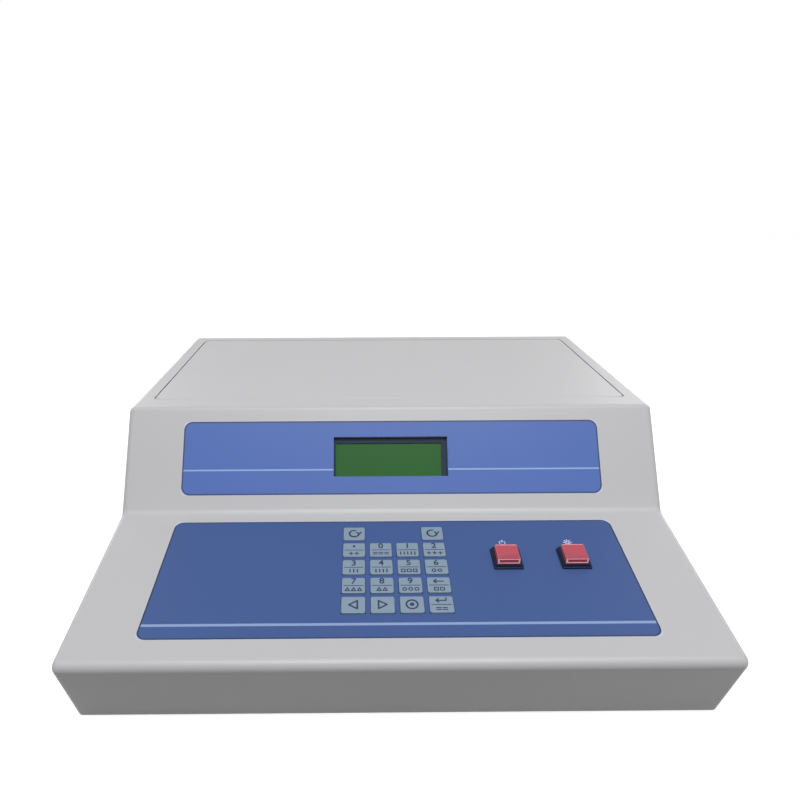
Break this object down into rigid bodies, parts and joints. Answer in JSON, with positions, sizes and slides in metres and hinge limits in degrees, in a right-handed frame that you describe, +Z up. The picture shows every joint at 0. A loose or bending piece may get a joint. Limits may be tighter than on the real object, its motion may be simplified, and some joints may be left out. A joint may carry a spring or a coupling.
{
  "type": "color difference meter",
  "caption": "Bench color difference meter: stepped plastic console with sloping keypad, display panel, lit push buttons and a hinged lid over the sample compartment.",
  "frame": {"origin": "middle of the bounding box on the plane that the rubber feet stand on", "axes": "+X to the operator's right, +Y from the operator towards the rear panel, +Z up"},
  "size_m": [0.38, 0.387, 0.1438],
  "materials": {
    "case": "satin, fine grain",
    "base": "matt dark grey paint",
    "rear": "matt grey paint",
    "rubber": "matt black",
    "screw": "zinc plated",
    "tray": "matt black",
    "black_metal": "black anodised",
    "bare_metal": "turned",
    "press_knob": "smooth black",
    "tile": "satin white",
    "bulb": "clear quartz on a ceramic base",
    "lens": "polished",
    "filter": "tinted",
    "board": "green solder resist",
    "black_plastic": "fine satin",
    "core": "varnished sheets",
    "winding": "amber tape over the coil",
    "display_film": "printed film, satin",
    "keypad_film": "printed film, satin",
    "lcd_frame": "black steel",
    "lcd": "dark green reflective display",
    "key": "satin blue-grey",
    "cap": "clear red, lit from inside",
    "connector": "nickel plated"
  },
  "bodies": {
    "console": {"top_housing": "case", "base_plate": "base", "rear_panel": "rear", "rubber_feet": "rubber", "lid_seal": "rubber", "screws": "screw", "lid_hinge_pins": "screw", "sample_tray": "tray", "port_ring": "black_metal", "cell_holder": "black_metal", "detector_housing": "black_metal", "press_post": "bare_metal", "lamp_housing": "bare_metal", "sphere_cap": "bare_metal", "sphere_body": "bare_metal", "halogen_lamp": "bulb", "condenser_lens": "lens", "color_filters": "filter", "photocell_board": "board", "main_board": "board", "lcd_board": "board", "keypad_board": "board", "fan_frame": "black_plastic", "power_switch": "black_plastic", "lamp_switch": "black_plastic", "mains_inlet": "black_plastic", "transformer_core": "core", "transformer_winding": "winding", "display_overlay": "display_film", "keypad_overlay": "keypad_film", "lcd_frame": "lcd_frame", "lcd_glass": "lcd", "serial_port": "connector", "printer_port": "connector"},
    "lid": {"lid": "case"},
    "press_arm": {"press_arm": "bare_metal"},
    "press_foot": {"press_foot": "press_knob"},
    "white_tile": {"white_tile": "tile"},
    "fan_rotor": {"fan_rotor": "black_plastic"},
    "fuse_drawer": {"fuse_drawer": "black_plastic"},
    "key_previous": {"key_previous": "key"},
    "key_next": {"key_next": "key"},
    "key_measure": {"key_measure": "key"},
    "key_enter": {"key_enter": "key"},
    "key_7": {"key_7": "key"},
    "key_8": {"key_8": "key"},
    "key_9": {"key_9": "key"},
    "key_back": {"key_back": "key"},
    "key_3": {"key_3": "key"},
    "key_4": {"key_4": "key"},
    "key_5": {"key_5": "key"},
    "key_6": {"key_6": "key"},
    "key_point": {"key_point": "key"},
    "key_0": {"key_0": "key"},
    "key_1": {"key_1": "key"},
    "key_2": {"key_2": "key"},
    "key_reset_left": {"key_reset_left": "key"},
    "key_reset_right": {"key_reset_right": "key"},
    "power_button": {"power_button": "cap"},
    "lamp_button": {"lamp_button": "cap"}
  },
  "joints": [
    {"name": "lid_hinge", "type": "hinge", "parent": "console", "child": "lid", "pos_m": [0, 0.1655, 0.13879], "axis": [-1, 0, 0], "range_deg": [0, 100]},
    {"name": "press_swing", "type": "hinge", "parent": "console", "child": "press_arm", "pos_m": [0.03, 0.1365, 0.11579], "axis": [0, 0, 1], "range_deg": [0, 100]},
    {"name": "press_lift", "type": "slide", "parent": "press_arm", "child": "press_foot", "axis": [0, 0, 1], "range_m": [0, 0.006], "stiffness_N_per_m": 150, "springref_m": -0.01},
    {"name": "tile_lift", "type": "slide", "parent": "console", "child": "white_tile", "axis": [0, 0, 1], "range_m": [0, 0.015]},
    {"name": "fuse_drawer_slide", "type": "slide", "parent": "console", "child": "fuse_drawer", "axis": [0, 1, 0], "range_m": [0, 0.014]},
    {"name": "fan_spin", "type": "hinge", "parent": "console", "child": "fan_rotor", "pos_m": [-0.12, 0.1725, 0.045], "axis": [0, 1, 0], "continuous": true},
    {"name": "key_previous_press", "type": "slide", "parent": "console", "child": "key_previous", "axis": [0, 0.1831, -0.9831], "range_m": [0, 0.0006], "stiffness_N_per_m": 800, "springref_m": -0.0004},
    {"name": "key_next_press", "type": "slide", "parent": "console", "child": "key_next", "axis": [0, 0.1831, -0.9831], "range_m": [0, 0.0006], "stiffness_N_per_m": 800, "springref_m": -0.0004},
    {"name": "key_measure_press", "type": "slide", "parent": "console", "child": "key_measure", "axis": [0, 0.1831, -0.9831], "range_m": [0, 0.0006], "stiffness_N_per_m": 800, "springref_m": -0.0004},
    {"name": "key_enter_press", "type": "slide", "parent": "console", "child": "key_enter", "axis": [0, 0.1831, -0.9831], "range_m": [0, 0.0006], "stiffness_N_per_m": 800, "springref_m": -0.0004},
    {"name": "key_7_press", "type": "slide", "parent": "console", "child": "key_7", "axis": [0, 0.1831, -0.9831], "range_m": [0, 0.0006], "stiffness_N_per_m": 800, "springref_m": -0.0004},
    {"name": "key_8_press", "type": "slide", "parent": "console", "child": "key_8", "axis": [0, 0.1831, -0.9831], "range_m": [0, 0.0006], "stiffness_N_per_m": 800, "springref_m": -0.0004},
    {"name": "key_9_press", "type": "slide", "parent": "console", "child": "key_9", "axis": [0, 0.1831, -0.9831], "range_m": [0, 0.0006], "stiffness_N_per_m": 800, "springref_m": -0.0004},
    {"name": "key_back_press", "type": "slide", "parent": "console", "child": "key_back", "axis": [0, 0.1831, -0.9831], "range_m": [0, 0.0006], "stiffness_N_per_m": 800, "springref_m": -0.0004},
    {"name": "key_3_press", "type": "slide", "parent": "console", "child": "key_3", "axis": [0, 0.1831, -0.9831], "range_m": [0, 0.0006], "stiffness_N_per_m": 800, "springref_m": -0.0004},
    {"name": "key_4_press", "type": "slide", "parent": "console", "child": "key_4", "axis": [0, 0.1831, -0.9831], "range_m": [0, 0.0006], "stiffness_N_per_m": 800, "springref_m": -0.0004},
    {"name": "key_5_press", "type": "slide", "parent": "console", "child": "key_5", "axis": [0, 0.1831, -0.9831], "range_m": [0, 0.0006], "stiffness_N_per_m": 800, "springref_m": -0.0004},
    {"name": "key_6_press", "type": "slide", "parent": "console", "child": "key_6", "axis": [0, 0.1831, -0.9831], "range_m": [0, 0.0006], "stiffness_N_per_m": 800, "springref_m": -0.0004},
    {"name": "key_point_press", "type": "slide", "parent": "console", "child": "key_point", "axis": [0, 0.1831, -0.9831], "range_m": [0, 0.0006], "stiffness_N_per_m": 800, "springref_m": -0.0004},
    {"name": "key_0_press", "type": "slide", "parent": "console", "child": "key_0", "axis": [0, 0.1831, -0.9831], "range_m": [0, 0.0006], "stiffness_N_per_m": 800, "springref_m": -0.0004},
    {"name": "key_1_press", "type": "slide", "parent": "console", "child": "key_1", "axis": [0, 0.1831, -0.9831], "range_m": [0, 0.0006], "stiffness_N_per_m": 800, "springref_m": -0.0004},
    {"name": "key_2_press", "type": "slide", "parent": "console", "child": "key_2", "axis": [0, 0.1831, -0.9831], "range_m": [0, 0.0006], "stiffness_N_per_m": 800, "springref_m": -0.0004},
    {"name": "key_reset_left_press", "type": "slide", "parent": "console", "child": "key_reset_left", "axis": [0, 0.1831, -0.9831], "range_m": [0, 0.0006], "stiffness_N_per_m": 800, "springref_m": -0.0004},
    {"name": "key_reset_right_press", "type": "slide", "parent": "console", "child": "key_reset_right", "axis": [0, 0.1831, -0.9831], "range_m": [0, 0.0006], "stiffness_N_per_m": 800, "springref_m": -0.0004},
    {"name": "power_button_press", "type": "slide", "parent": "console", "child": "power_button", "axis": [0, 0.1831, -0.9831], "range_m": [0, 0.003], "stiffness_N_per_m": 500, "springref_m": -0.001},
    {"name": "lamp_button_press", "type": "slide", "parent": "console", "child": "lamp_button", "axis": [0, 0.1831, -0.9831], "range_m": [0, 0.003], "stiffness_N_per_m": 500, "springref_m": -0.001}
  ]
}
